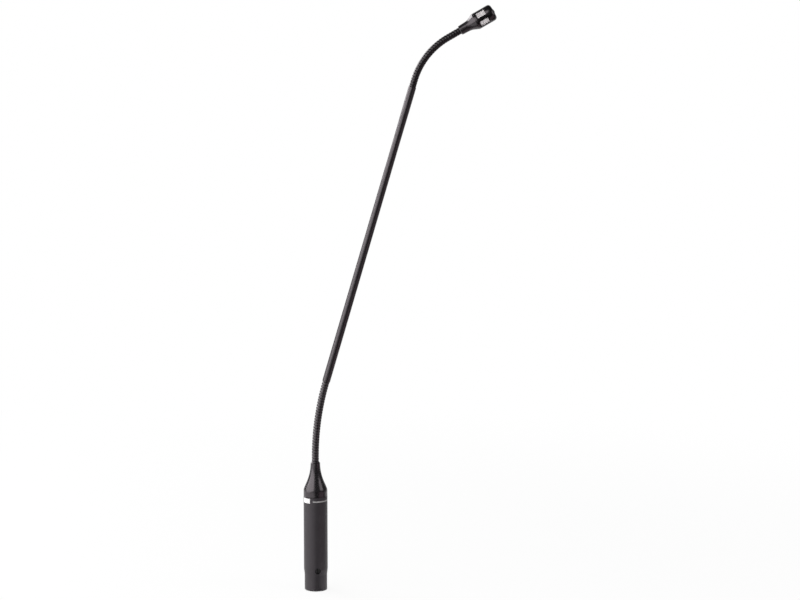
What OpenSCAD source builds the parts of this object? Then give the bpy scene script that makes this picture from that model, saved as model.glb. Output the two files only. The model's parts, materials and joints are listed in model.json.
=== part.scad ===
// Gooseneck podium microphone: a plug-in base, two flexible necks with a rigid stem between,
// and a windowed head. Millimetres. +Z runs up the base, the necks lean towards +X, and the
// origin is the centre of the plug's mouth.

/* [Base] */
// Outside diameter of the base
base_d = 21.6; // [20.8:0.1:23]
// Outside diameter of the plug end
plug_d = 20.4; // [19.4:0.1:20.8]
// Length of the plug end, up to its taper
plug_len = 14; // [11:0.5:14.5]
// Length of the taper between the plug end and the base
taper_len = 5; // [1:0.5:10]
// Length of the housing, from the mouth to the seam under the nose
housing_len = 86.5; // [82:0.5:140]
// Bore of the housing above the plug
bore_d = 17; // [16.6:0.1:18]
// Rounding of the mouth's rim
rim_r = 0.6; // [0.2:0.1:0.8]
// Bevel on each side of the seam under the nose
seam_bevel = 0.3; // [0.1:0.05:0.6]

/* [Plug] */
// Bore of the plug's socket
socket_d = 16.2; // [16:0.05:16.5]
// Depth of the socket, from the mouth to the insert
socket_depth = 14.2; // [12:0.1:17]
// Length of the insulating insert
insert_len = 9.8; // [8:0.1:14]
// Hole in the ledge that the insert stops against
ledge_d = 14.4; // [13.6:0.1:15.4]
// Length of that ledge
ledge_len = 1.5; // [1:0.1:3]
// Diameter of a contact pin
pin_d = 2.4; // [2:0.05:2.8]
// Diameter of the circle that the pins stand on
pin_circle_d = 7.62; // [7:0.02:8.4]
// How far the pin tips lie inside the mouth
pin_recess = 1.2; // [0.2:0.1:3]
// How far the pins stand out behind the insert
pin_tail = 4; // [2:0.1:5]
// Width of the latch slot at the back of the plug end
latch_w = 4.2; // [2:0.1:6]
// Height of the latch slot
latch_h = 3.2; // [2:0.1:5]
// Height of the middle of the latch slot above the mouth
latch_z = 7.4; // [4:0.1:9]
// Width of the ground tag on the side of the insert
tag_w = 2; // [1:0.1:3]
// Thickness of the ground tag
tag_t = 0.4; // [0.2:0.05:0.6]

/* [Insert screw] */
// Height of the screw above the face of the insert
screw_up = 4.4; // [3:0.1:5.4]
// Angle of the screw about the base, from the front towards +X
screw_turn = 12; // [-30:1:30]
// Diameter of the screw's head
screw_head_d = 5; // [3.6:0.1:5.4]
// Length of the screw's head
screw_head_len = 1; // [0.9:0.1:1.8]
// Diameter of the screw's shank
screw_shank_d = 2.5; // [1.6:0.1:3]
// Length of the screw's shank
screw_shank_len = 2.7; // [1.5:0.1:3]
// Width and depth of the slot in the screw's head
screw_slot = 0.7; // [0.4:0.05:0.9]

/* [Preamplifier] */
// Length of the circuit board
board_len = 45; // [40:0.5:48]
// Thickness of the circuit board
board_t = 1.2; // [0.8:0.1:1.6]
// Distance of the middle of the board behind the base's axis
board_back = 3; // [2.6:0.1:3.6]
// Height of the slotted boss that holds the board on the insert
boss_h = 4; // [2:0.1:5]
// Diameter of a capacitor
capacitor_d = 4; // [3:0.1:4.6]
// Length of a capacitor
capacitor_len = 7; // [5:0.1:8]
// Diameter of the transistor's body
transistor_d = 4.6; // [3.6:0.1:5]
// Diameter of a resistor
resistor_d = 1.8; // [1.2:0.1:2.4]
// Length of a resistor
resistor_len = 5; // [3:0.1:6]
// Diameter of the leads from the plug to the board
lead_d = 1; // [0.6:0.05:1.4]

/* [Nose] */
// Length of the nose, from the seam to its lip
nose_len = 31.1; // [29:0.1:40]
// Outside diameter of the nose's lip
lip_d = 8.6; // [8.2:0.1:9.4]
// Length of the straight lip
lip_len = 0.7; // [0.7:0.1:3]
// Bevel of the lip
lip_bevel = 0.6; // [0.2:0.05:0.7]
// Slope of the nose's flare from the base's axis
nose_slope = 23.1; // [20:0.1:26]
// Radius of the convex shoulder below the flare
nose_shoulder_r = 7.5; // [4:0.5:14]
// Radius of the concave waist above the flare
nose_waist_r = 44; // [25:1:58]
// Length of the spigot that seats the nose in the housing
spigot_len = 8; // [4:0.5:9]
// Wall of the spigot
spigot_wall = 1.6; // [1:0.1:2.4]
// Length of the bush in the nose
ferrule_len = 12; // [8:0.5:13]

/* [Necks] */
// Outside diameter of the lower neck, over its winding
lower_d = 6.45; // [5.8:0.05:6.6]
// Outside diameter of the upper neck, over its winding
upper_d = 6.2; // [5.8:0.05:6.25]
// Pitch of the winding
neck_pitch = 2.5; // [2.45:0.05:3.4]
// Width of the winding's wire along the neck
wire_w = 1.95; // [1.4:0.05:2]
// Height of the winding's wire across the neck
wire_h = 0.8; // [0.5:0.05:0.85]
// Outside diameter of the neck's core
core_d = 3.4; // [3:0.05:3.5]
// Bore of the neck's core
core_bore_d = 2.5; // [2.35:0.05:2.7]
// Outside diameter of the bushes that hold the core in the nose and the head
ferrule_d = 5.6; // [5:0.05:5.8]
// Gap between two pieces of the core
core_gap = 0.6; // [0.5:0.05:0.9]
// Wider gap where the core folds at one of the neck's hinges
hinge_gap = 1.6; // [1.5:0.05:2]
// How deep the winding sits in the nose and in the head
neck_seat = 3.4; // [2.6:0.1:5]
// Length of the lower neck in the open
lower_len = 75; // [60:1:120]
// Bend of the lower neck
lower_bend = 16.3; // [0:0.1:30]
// Straight stretch at the root of the lower neck
lower_lead = 4; // [0:0.5:10]
// Length of the upper neck in the open
upper_len = 67.2; // [58:0.2:120]
// Bend of the upper neck
upper_bend = 43.6; // [0:0.1:50]
// Straight stretch at the root of the upper neck
upper_lead = 6; // [0:0.5:10]
// Straight stretch at the tip of the upper neck
upper_tail = 12.5; // [0:0.5:15]

/* [Stem] */
// Outside diameter of the stem at its foot
stem_d = 7.1; // [6.7:0.05:7.6]
// Outside diameter of the stem at its top
stem_top_d = 6.25; // [6.25:0.05:6.7]
// Wall of the stem at its top
stem_wall = 0.7; // [0.4:0.05:0.8]
// Length of the stem
stem_len = 276; // [120:1:400]
// Length of the bush in each end of the stem
bush_len = 14; // [8:0.5:30]

/* [Head] */
// Outside diameter of the collar at its rear
collar_d = 8.4; // [8:0.1:8.8]
// Outside diameter of the collar where the flare starts
collar_front_d = 9; // [8.8:0.1:9.4]
// Length of the collar
collar_len = 6.6; // [6:0.1:12]
// Bevel at the collar's rear
collar_bevel = 0.6; // [0.2:0.05:0.7]
// Slope of the head's flare from its axis
head_slope = 24; // [18:1:28]
// Radius of the convex shoulder before the shell
head_shoulder_r = 3; // [1:0.5:5]
// Radius of the concave waist behind the flare
head_waist_r = 12; // [6:0.5:16]
// Length of the bush in the head
head_ferrule_len = 8; // [5:0.1:9]
// Outside diameter of the head's shell
shell_d = 15.1; // [15:0.1:17]
// Wall of the shell
shell_wall = 0.6; // [0.5:0.05:1]
// Length of the shell
shell_len = 17.5; // [17.3:0.1:24]
// Rounding of the shell's front edge
front_r = 3; // [1.6:0.1:3]
// Diameter of the shell's mouth
mouth_d = 8.7; // [8:0.1:8.8]
// Thickness of the shell's front
mouth_lip = 1.5; // [1.4:0.05:1.6]
// Number of windows in the shell
window_count = 5; // [3:1:7]
// Width of a window
window_w = 5.8; // [2:0.1:6.4]
// Length of a window
window_len = 8.2; // [5:0.1:8.6]
// Distance from the shell's rear edge to its windows
window_start = 2.1; // [1.4:0.1:2.4]
// Angle of the first window about the head, from the front
window_turn = 36; // [-36:1:36]
// Wall of the sleeve behind the windows
sleeve_wall = 0.4; // [0.2:0.05:0.5]

/* [Capsule] */
// Thickness of the front grille
grille_t = 0.5; // [0.3:0.05:0.7]
// Height of the grille's dome
dome_h = 2.1; // [1.6:0.05:2.4]
// Diameter of a hole in the grille
grille_hole_d = 0.9; // [0.6:0.05:1.1]
// Distance between holes in the grille
grille_pitch = 1.6; // [1.4:0.05:2.4]
// Thickness of the ring behind the grille
ring_t = 1; // [0.6:0.1:1.4]
// Width of that ring
ring_w = 1; // [0.6:0.1:1.6]
// Diameter of the capsule
capsule_d = 9.6; // [8.4:0.1:9.8]
// Length of the capsule
capsule_len = 6; // [4:0.1:6.6]
// Diameter of the sound port in the capsule's face
port_d = 3; // [1:0.1:5]
// Depth of the sound port
port_depth = 0.6; // [0.2:0.1:1]
// Length of the rubber seat round the capsule
gasket_len = 3; // [2:0.1:3.6]
// Thickness of the contact board behind the capsule
contact_t = 1; // [0.6:0.1:1.4]
// Diameter of the signal cable
cable_d = 2; // [1.4:0.05:2.1]
// Length of the signal cable that is laid on the board in the base
cable_lap = 6; // [3:0.5:10]

/* [Fits] */
// Gap round a piece that sits in another
fit_gap = 0.1; // [0.05:0.01:0.15]
// Gap round a winding or a screw's head in its hole
easy_gap = 0.2; // [0.15:0.01:0.25]

/* [Hidden] */
$fn = 64;
// Breaks in the core of one neck, and steps along its centre line
breaks = 12;
steps = 20 * breaks;
// Breaks that are hinges: the first, and how many lie between one and the next
hinge_first = 2;
hinge_every = 3;
// Rings in one turn of a winding, and sides of its wire
turn_rings = 8;
wire_sides = 6;
// Sides of a lead or of the cable
lead_sides = 8;
// Points in a rounded stretch of a profile
arc_steps = 8;

// Radii that several pieces share
base_r = base_d / 2;
bore_r = bore_d / 2;
socket_r = socket_d / 2;
insert_r = socket_r - fit_gap;
lower_seat_r = lower_d / 2 + easy_gap;
upper_seat_r = upper_d / 2 + easy_gap;
ferrule_hole_r = ferrule_d / 2 + fit_gap;
stem_bore_r = stem_top_d / 2 - stem_wall;
bush_d = 2 * (stem_bore_r - fit_gap);
core_hole_d = core_d + 2 * fit_gap;
shell_r = shell_d / 2;
shell_bore_r = shell_r - shell_wall;
sleeve_r = shell_bore_r - fit_gap;
sleeve_bore_r = sleeve_r - sleeve_wall;

// Heights in the base
insert_top = socket_depth + insert_len;
screw_z = socket_depth + screw_up;
board_z = insert_top + boss_h / 2;
board_face = board_back - board_t / 2;
board_w = 2 * sqrt(pow(bore_r, 2) - pow(board_back + board_t / 2, 2)) - 4 * fit_gap;
boss_w = board_w / 2;
boss_t = board_t + 2;
pin_top = insert_top + pin_tail;
nose_top = housing_len + nose_len;
ferrule_z = nose_top - neck_seat - ferrule_len;
// The two side contacts and the front one
pin_angles = [0, 180, 270];
tag_angle = 150;

// Where the screw's head rests, just off the insert
screw_seat = insert_r + easy_gap;
screw_hole_d = screw_head_d + 2 * easy_gap;

// Flare of the nose and of the head, as a height along the axis
nose_bell = bell_height(base_r, lip_d / 2, nose_shoulder_r, nose_waist_r, nose_slope);
head_bell = bell_height(shell_r, collar_front_d / 2, head_shoulder_r, head_waist_r, head_slope);
head_neck_len = collar_len + head_bell;

// Places inside the head, along its axis from the rear of the collar
shell_front = head_neck_len + shell_len;
grille_z = shell_front - mouth_lip - grille_t;
ring_z = grille_z - ring_t;
capsule_front = ring_z - 2 * fit_gap;
capsule_z = capsule_front - capsule_len;
contact_z = capsule_z - contact_t;
register_len = window_start / 2;
sleeve_z = head_neck_len + register_len + fit_gap;
sleeve_end = head_neck_len + window_start + window_len + register_len;
head_spigot_len = window_start + register_len;
head_spigot_r = sleeve_bore_r - fit_gap;
head_cavity_r = head_spigot_r - shell_wall;

// A neck is its root point, its lean there, its bend, its length, its straight stretches and its diameter
lower = [[0, nose_top], 0, lower_bend, lower_len, lower_lead, 0, lower_d];
lower_line = centre_line(lower);
stem_root = lower_line[steps];
stem_axis = [sin(lower_bend), cos(lower_bend)];
stem_tip = stem_root + stem_len * stem_axis;
upper = [stem_tip, lower_bend, upper_bend, upper_len, upper_lead, upper_tail, upper_d];
upper_line = centre_line(upper);
head_root = upper_line[steps];
head_lean = lower_bend + upper_bend;
head_axis = [sin(head_lean), cos(head_lean)];

// Straight stretch between a neck's end and its nearest break, less half a gap
lower_stub = lower_len / (2 * breaks) - core_gap / 2;
upper_stub = upper_len / (2 * breaks) - core_gap / 2;

// Points that the signal cable passes in the base, from the board to the foot of the nose
cable_foot = board_z + board_len - cable_lap;
cable_side = board_face - cable_d / 2 - fit_gap;
cable_base = [[0, cable_side, cable_foot], [0, cable_side, board_z + board_len], [0, 0, housing_len]];

// A point of the X-Z plane, as a point in space
function xz(p) = [p[0], 0, p[1]];

// An arc about a centre, between two angles
function arc(centre, r, from, to) =
    [for (i = [0:arc_steps]) let (a = from + (to - from) * i / arc_steps) centre + r * [cos(a), sin(a)]];

// Height of a bell from its shoulder to its waist
function bell_height(wide, narrow, shoulder, waist, slope) =
    (shoulder + waist) * sin(slope)
    + (wide - narrow - (shoulder + waist) * (1 - cos(slope))) / tan(slope);

// Outline of a bell that starts at height 0: a convex shoulder, a straight cone and a concave waist
function bell(wide, narrow, shoulder, waist, slope) =
    let (top = bell_height(wide, narrow, shoulder, waist, slope))
    concat(
        arc([wide - shoulder, 0], shoulder, 0, slope),
        arc([narrow + waist, top], waist, 180 + slope, 180)
    );

// Lean of a neck at a distance along it, which rises evenly between its straight stretches
function lean_at(neck, s) =
    neck[1] + neck[2] * min(max((s - neck[4]) / (neck[3] - neck[4] - neck[5]), 0), 1);

// Direction of a neck at a distance along it
function heading(neck, s) = [sin(lean_at(neck, s)), cos(lean_at(neck, s))];

// Centre line of a neck, as points at even steps
function centre_line(neck) =
    let (step = neck[3] / steps)
    [for (i = 0, p = neck[0]; i <= steps; p = p + step * heading(neck, (i + 0.5) * step), i = i + 1) p];

// Point of a neck's centre line, which runs on straight past its ends
function on_line(neck, line, s) =
    s < 0 ? neck[0] + s * heading(neck, 0)
    : s >= neck[3] ? line[steps] + (s - neck[3]) * heading(neck, neck[3])
    : let (u = s / neck[3] * steps, i = floor(u)) line[i] + (u - i) * (line[i + 1] - line[i]);

// Place of one of the breaks in a neck's core, and half of its gap
function break_at(line, k) = line[(2 * k - 1) * steps / (2 * breaks)];
function half_gap(k) = ((k - hinge_first) % hinge_every == 0 ? hinge_gap : core_gap) / 2;

// Places along the stem and along the head's axis
function on_stem(s) = stem_root + s * stem_axis;
function on_head(s) = head_root + s * head_axis;

// Triangles of a closed tube through rings of equal counts
function tube_faces(count, sides) =
    let (last = (count - 1) * sides)
    concat(
        [for (j = [1:sides - 2]) [0, j, j + 1]],
        [for (i = [0:count - 2]) for (j = [0:sides - 1])
            let (a = i * sides, b = a + sides, k = (j + 1) % sides)
            each [[a + j, b + k, a + k], [a + j, b + j, b + k]]],
        [for (j = [1:sides - 2]) [last, last + j + 1, last + j]]
    );

// One ring of a round tube, square to the run of its path
function tube_ring(path, i, d, sides) =
    let (
        ahead = path[min(i + 1, len(path) - 1)] - path[max(i - 1, 0)],
        along = ahead / norm(ahead),
        across = cross([0, 1, 0], along),
        u = across / norm(across),
        v = cross(along, u)
    )
    [for (j = [0:sides - 1]) path[i] + d / 2 * (cos(360 * j / sides) * u + sin(360 * j / sides) * v)];

// Rings of a winding that runs along a neck from one distance to another
function winding_rings(neck, line, from, to) =
    let (turns = floor((to - from) / neck_pitch), count = turns * turn_rings)
    [for (i = [0:count])
        let (
            s = from + (to - from) * i / count,
            lean = lean_at(neck, s),
            turn = 360 * i / turn_rings,
            along = [sin(lean), 0, cos(lean)],
            out = cos(turn) * [cos(lean), 0, -sin(lean)] + sin(turn) * [0, 1, 0],
            middle = xz(on_line(neck, line, s)) + (neck[6] - wire_h) / 2 * out
        )
        [for (j = [0:wire_sides - 1])
            let (a = 360 * j / wire_sides)
            middle + wire_w / 2 * cos(a) * along + wire_h / 2 * sin(a) / sin(60) * out]];

// Least distance between the points of one turn of a winding and those of the next
function least_gap(rings) =
    min([for (i = [0:len(rings) - turn_rings - 2]) for (k = [turn_rings - 1:turn_rings + 1])
        for (p = rings[i]) for (q = rings[i + k]) norm(p - q)]);

module tube(path, d) {
    rings = [for (i = [0:len(path) - 1]) tube_ring(path, i, d, lead_sides)];
    polyhedron([for (r = rings) each r], tube_faces(len(rings), lead_sides));
}

module winding(name, neck, line, from, to) {
    rings = winding_rings(neck, line, from, to);
    echo(str(name, ": ", (len(rings) - 1) / turn_rings, " turns, least gap ", least_gap(rings), " mm"));
    polyhedron([for (r = rings) each r], tube_faces(len(rings), wire_sides));
}

// A hollow cylinder between two points of the X-Z plane
module sleeve(from, to, outer_d, inner_d) {
    way = to - from;
    translate(xz(from)) rotate([0, atan2(way[0], way[1]), 0]) linear_extrude(norm(way)) difference() {
        circle(d = outer_d);
        circle(d = inner_d);
    }
}

// One piece of a neck's core, between two breaks
module core_piece(line, k) {
    from = break_at(line, k);
    to = break_at(line, k + 1);
    way = (to - from) / norm(to - from);
    color("dimgray") sleeve(from + half_gap(k) * way, to - half_gap(k + 1) * way, core_d, core_bore_d);
}

// What belongs to the head, drawn along +Z and set on the upper neck's tip
module on_head_axis() {
    translate(xz(head_root)) rotate([0, head_lean, 0]) children();
}

// What points out of the base towards its insert screw, drawn along +X
module on_screw_axis() {
    rotate([0, 0, screw_turn - 90]) translate([0, 0, screw_z]) rotate([0, 90, 0]) children();
}

module base_housing() {
    rim = arc([plug_d / 2 - rim_r, rim_r], rim_r, 270, 360);
    wall = concat(
        [[socket_r + rim_r / 2, 0]],
        rim,
        [[plug_d / 2, plug_len], [base_r, plug_len + taper_len]],
        [[base_r, housing_len - seam_bevel], [base_r - seam_bevel, housing_len], [bore_r, housing_len]],
        [[bore_r, insert_top + ledge_len], [ledge_d / 2, insert_top + ledge_len]],
        [[ledge_d / 2, insert_top], [socket_r, insert_top], [socket_r, rim_r / 2]]
    );
    color("#26262a") difference() {
        rotate_extrude() polygon(wall);
        on_screw_axis() cylinder(d = screw_hole_d, h = base_d);
        translate([-latch_w / 2, 0, latch_z - latch_h / 2]) cube([latch_w, base_d, latch_h]);
    }
}

module base_nose() {
    spigot_r = bore_r - fit_gap;
    cavity_r = spigot_r - spigot_wall;
    skirt = nose_len - lip_len - nose_bell;
    ferrule_foot = nose_len - neck_seat - ferrule_len;
    cavity_top = ferrule_foot - (cavity_r - ferrule_hole_r) / tan(nose_slope);
    flare = [for (p = bell(base_r, lip_d / 2, nose_shoulder_r, nose_waist_r, nose_slope)) p + [0, skirt]];
    wall = concat(
        [[spigot_r, -spigot_len], [spigot_r, 0], [base_r - seam_bevel, 0], [base_r, seam_bevel]],
        flare,
        [[lip_d / 2, nose_len - lip_bevel], [lip_d / 2 - lip_bevel, nose_len], [lower_seat_r, nose_len]],
        [[lower_seat_r, nose_len - neck_seat], [ferrule_hole_r, nose_len - neck_seat]],
        [[ferrule_hole_r, ferrule_foot], [cavity_r, cavity_top], [cavity_r, -spigot_len]]
    );
    color("#2c2c30") translate([0, 0, housing_len]) rotate_extrude() polygon(wall);
}

module xlr_insert() {
    slot_t = board_t + 2 * fit_gap;
    tag_room = tag_t + 2 * fit_gap;
    color("#1a1a1a") difference() {
        union() {
            translate([0, 0, socket_depth]) cylinder(r = insert_r, h = insert_len);
            translate([-boss_w / 2, board_back - boss_t / 2, socket_depth + insert_len / 2])
                cube([boss_w, boss_t, insert_len / 2 + boss_h]);
        }
        for (a = pin_angles)
            rotate([0, 0, a]) translate([pin_circle_d / 2, 0, 0])
                cylinder(d = pin_d + 2 * fit_gap, h = pin_top);
        translate([-boss_w, board_back - slot_t / 2, board_z]) cube([2 * boss_w, slot_t, boss_h]);
        rotate([0, 0, tag_angle])
            translate([insert_r - tag_room, -tag_w / 2 - fit_gap, socket_depth + tag_w])
            cube([insert_r, tag_w + 2 * fit_gap, insert_len]);
        on_screw_axis() translate([0, 0, screw_seat - screw_shank_len - fit_gap])
            cylinder(d = screw_shank_d + 2 * fit_gap, h = base_d);
    }
}

module contact_pins() {
    tip = pin_d / 4;
    pin = [[0, pin_recess], [pin_d / 2 - tip, pin_recess], [pin_d / 2, pin_recess + tip],
        [pin_d / 2, pin_top], [0, pin_top]];
    color("gainsboro") for (a = pin_angles)
        rotate([0, 0, a]) translate([pin_circle_d / 2, 0, 0]) rotate_extrude() polygon(pin);
}

module ground_tag() {
    color("silver") rotate([0, 0, tag_angle])
        translate([insert_r - fit_gap - tag_t, -tag_w / 2, socket_depth + tag_w + fit_gap])
        cube([tag_t, tag_w, insert_len - tag_w - 2 * fit_gap]);
}

module insert_screw() {
    top = screw_seat + screw_head_len;
    color("dimgray") on_screw_axis() difference() {
        union() {
            translate([0, 0, screw_seat - screw_shank_len])
                cylinder(d = screw_shank_d, h = screw_shank_len);
            translate([0, 0, screw_seat]) cylinder(d = screw_head_d, h = screw_head_len);
        }
        translate([-screw_head_d, -screw_slot / 2, top - screw_slot])
            cube([2 * screw_head_d, screw_slot, 2 * screw_slot]);
    }
}

module preamp_board() {
    color("darkgreen") translate([-board_w / 2, board_face, board_z]) cube([board_w, board_t, board_len]);
}

module board_capacitors() {
    color("navy") for (x = [-1, 1])
        translate([x * board_w / 4, board_face - capacitor_d / 2 - fit_gap, board_z + board_len * 0.3])
        cylinder(d = capacitor_d, h = capacitor_len);
}

module board_transistor() {
    flat = transistor_d / 4;
    color("black") translate([0, board_face - flat - fit_gap, board_z + board_len * 0.52])
        linear_extrude(transistor_d) intersection() {
            circle(d = transistor_d);
            translate([-transistor_d, flat - 2 * transistor_d]) square(2 * transistor_d);
        }
}

module board_resistors() {
    side = board_face - resistor_d / 2 - fit_gap;
    color("tan") for (x = [-1, 1]) for (up = [0.7, 0.8])
        translate([x * board_w / 4, side, board_z + board_len * up])
        rotate([0, 90, 0]) cylinder(d = resistor_d, h = resistor_len, center = true);
}

module output_leads() {
    foot = pin_top + fit_gap;
    pad = board_face - lead_d / 2 - fit_gap;
    color("firebrick") for (a = pin_angles) {
        x = pin_circle_d / 2 * cos(a);
        y = pin_circle_d / 2 * sin(a);
        tube([[x, y, foot], [x, y, foot + lead_d], [x, (y + pad) / 2, foot + 4 * lead_d],
            [x, pad, foot + 7 * lead_d], [x, pad, foot + 9 * lead_d]], lead_d);
    }
}

module neck_ferrule() {
    color("goldenrod") sleeve([0, ferrule_z], [0, nose_top - neck_seat], ferrule_d, core_hole_d);
}

module lower_core_root() {
    color("dimgray") sleeve([0, ferrule_z], [0, nose_top + lower_stub], core_d, core_bore_d);
}

module lower_core_tip() {
    color("dimgray") sleeve(on_stem(-lower_stub), on_stem(bush_len), core_d, core_bore_d);
}

module lower_winding() {
    inset = wire_w / 2 + easy_gap;
    color("#303034") winding("lower winding", lower, lower_line, inset - neck_seat, lower_len - inset);
}

module stem_lower_bush() {
    color("goldenrod") sleeve(on_stem(stem_wall), on_stem(bush_len), bush_d, core_hole_d);
}

module stem_tube() {
    wall = [[stem_bore_r, 0], [stem_d / 2, 0], [stem_top_d / 2, stem_len], [stem_bore_r, stem_len]];
    color("#2a2a2e") translate(xz(stem_root)) rotate([0, lower_bend, 0]) rotate_extrude() polygon(wall);
}

module stem_upper_bush() {
    color("goldenrod")
        sleeve(on_stem(stem_len - bush_len), on_stem(stem_len - stem_wall), bush_d, core_hole_d);
}

module upper_core_root() {
    color("dimgray")
        sleeve(on_stem(stem_len - bush_len), on_stem(stem_len + upper_stub), core_d, core_bore_d);
}

module upper_core_tip() {
    color("dimgray")
        sleeve(on_head(-upper_stub), on_head(neck_seat + head_ferrule_len), core_d, core_bore_d);
}

module upper_winding() {
    inset = wire_w / 2 + easy_gap;
    color("#303034") winding("upper winding", upper, upper_line, inset, upper_len + neck_seat - inset);
}

module head_ferrule() {
    color("goldenrod")
        sleeve(on_head(neck_seat), on_head(neck_seat + head_ferrule_len), ferrule_d, core_hole_d);
}

module head_neck() {
    flare = bell(shell_r, collar_front_d / 2, head_shoulder_r, head_waist_r, head_slope);
    bush_end = neck_seat + head_ferrule_len;
    cavity_z = bush_end + (head_cavity_r - ferrule_hole_r) / tan(head_slope);
    wall = concat(
        [[upper_seat_r, 0], [collar_d / 2 - collar_bevel, 0], [collar_d / 2, collar_bevel]],
        [for (i = [len(flare) - 1:-1:0]) [flare[i][0], head_neck_len - flare[i][1]]],
        [[sleeve_r, head_neck_len], [sleeve_r, head_neck_len + register_len]],
        [[head_spigot_r, head_neck_len + register_len], [head_spigot_r, head_neck_len + head_spigot_len]],
        [[head_cavity_r, head_neck_len + head_spigot_len], [head_cavity_r, cavity_z]],
        [[ferrule_hole_r, bush_end], [ferrule_hole_r, neck_seat], [upper_seat_r, neck_seat]]
    );
    color("#2c2c30") on_head_axis() rotate_extrude() polygon(wall);
}

module capsule_shell() {
    wall = concat(
        [[shell_bore_r, 0], [shell_r, 0]],
        arc([shell_r - front_r, shell_len - front_r], front_r, 0, 90),
        [[mouth_d / 2, shell_len], [mouth_d / 2, shell_len - mouth_lip]],
        [[shell_bore_r, shell_len - mouth_lip]]
    );
    color("#202024") on_head_axis() translate([0, 0, head_neck_len]) difference() {
        rotate_extrude() polygon(wall);
        for (k = [0:window_count - 1])
            rotate([0, 0, window_turn - 90 + 360 * k / window_count])
            translate([0, -window_w / 2, window_start]) cube([shell_d, window_w, window_len]);
    }
}

module window_sleeve() {
    color("lightgray") sleeve(on_head(sleeve_z), on_head(sleeve_end), 2 * sleeve_r, 2 * sleeve_bore_r);
}

module front_grille() {
    // The dome is a slice of a sphere that rises through the mouth from a flat flange
    rise_r = mouth_d / 2 - fit_gap;
    ball_r = (pow(rise_r, 2) + pow(dome_h, 2)) / (2 * dome_h);
    centre = [0, grille_t + dome_h - ball_r];
    inner_r = ball_r - grille_t;
    rim = sleeve_r - fit_gap;
    dome = concat(
        arc(centre, inner_r, 90, acos((rise_r - grille_t) / inner_r)),
        [[rise_r - grille_t, 0], [rim, 0], [rim, grille_t]],
        arc(centre, ball_r, acos(rise_r / ball_r), 90)
    );
    rows = floor((rise_r - grille_hole_d) / grille_pitch);
    color("#3a3a3e") on_head_axis() translate([0, 0, grille_z]) difference() {
        rotate_extrude() polygon(dome);
        for (i = [-rows:rows]) for (j = [-rows:rows])
            if (abs(i + j) <= rows)
                translate([grille_pitch * (i + j / 2), grille_pitch * j * sin(60), 0])
                cylinder(d = grille_hole_d, h = 2 * dome_h);
    }
}

module grille_ring() {
    color("dimgray") sleeve(on_head(ring_z), on_head(grille_z), 2 * sleeve_r, 2 * (sleeve_r - ring_w));
}

module capsule_cartridge() {
    can = [[0, 0], [capsule_d / 2, 0], [capsule_d / 2, capsule_len], [port_d / 2, capsule_len],
        [port_d / 2, capsule_len - port_depth], [0, capsule_len - port_depth]];
    color("silver") on_head_axis() translate([0, 0, capsule_z]) rotate_extrude() polygon(can);
}

module capsule_gasket() {
    hole_d = capsule_d + 2 * fit_gap;
    color("#141414") sleeve(on_head(sleeve_end - gasket_len), on_head(sleeve_end), 2 * head_spigot_r, hole_d);
}

module capsule_board() {
    color("darkgreen") on_head_axis() translate([0, 0, contact_z]) cylinder(d = capsule_d, h = contact_t);
}

module signal_cable() {
    stride = steps / breaks / 2;
    path = concat(
        cable_base,
        [for (i = [0:stride:steps]) xz(lower_line[i])],
        [for (i = [0:stride:steps]) xz(upper_line[i])],
        [xz(on_head(contact_z - fit_gap))]
    );
    color("#101010") tube(path, cable_d);
}

base_housing();
base_nose();
xlr_insert();
contact_pins();
ground_tag();
insert_screw();
preamp_board();
board_capacitors();
board_transistor();
board_resistors();
output_leads();
neck_ferrule();
lower_core_root();
for (k = [1:breaks - 1]) core_piece(lower_line, k);
lower_core_tip();
lower_winding();
stem_lower_bush();
stem_tube();
stem_upper_bush();
upper_core_root();
for (k = [1:breaks - 1]) core_piece(upper_line, k);
upper_core_tip();
upper_winding();
head_ferrule();
head_neck();
capsule_shell();
window_sleeve();
front_grille();
grille_ring();
capsule_cartridge();
capsule_gasket();
capsule_board();
signal_cable();
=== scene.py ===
import json
import math

import bmesh
import bpy
from mathutils import Matrix, Vector

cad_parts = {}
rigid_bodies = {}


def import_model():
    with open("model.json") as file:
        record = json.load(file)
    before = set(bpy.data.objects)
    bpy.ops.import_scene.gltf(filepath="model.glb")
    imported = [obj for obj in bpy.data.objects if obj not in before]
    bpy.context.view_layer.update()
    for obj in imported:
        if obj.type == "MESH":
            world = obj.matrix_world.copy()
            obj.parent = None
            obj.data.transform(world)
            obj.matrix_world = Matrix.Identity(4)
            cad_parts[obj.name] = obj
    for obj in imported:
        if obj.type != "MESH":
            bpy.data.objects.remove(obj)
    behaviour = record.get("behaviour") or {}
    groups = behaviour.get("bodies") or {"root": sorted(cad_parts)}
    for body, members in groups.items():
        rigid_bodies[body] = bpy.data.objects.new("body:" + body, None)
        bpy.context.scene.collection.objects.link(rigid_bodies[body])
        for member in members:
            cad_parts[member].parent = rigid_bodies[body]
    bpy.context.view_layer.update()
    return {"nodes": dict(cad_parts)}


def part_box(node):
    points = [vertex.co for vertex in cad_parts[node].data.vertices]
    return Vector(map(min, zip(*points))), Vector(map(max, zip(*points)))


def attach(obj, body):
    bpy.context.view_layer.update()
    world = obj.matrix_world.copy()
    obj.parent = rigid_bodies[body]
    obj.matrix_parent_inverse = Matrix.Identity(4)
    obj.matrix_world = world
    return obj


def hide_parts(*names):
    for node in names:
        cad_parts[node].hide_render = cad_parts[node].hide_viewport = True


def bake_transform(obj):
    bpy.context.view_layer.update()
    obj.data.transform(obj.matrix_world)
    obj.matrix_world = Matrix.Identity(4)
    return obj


for stray in list(bpy.data.objects):
    bpy.data.objects.remove(stray)
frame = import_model()
nodes = frame["nodes"]

mm = 0.001  # sizes are in mm and degrees, the frame and the stage in metres
stemLean = 16.3  # from upright, as photographed


# node trees: Value wraps a socket, Graph a tree

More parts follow.
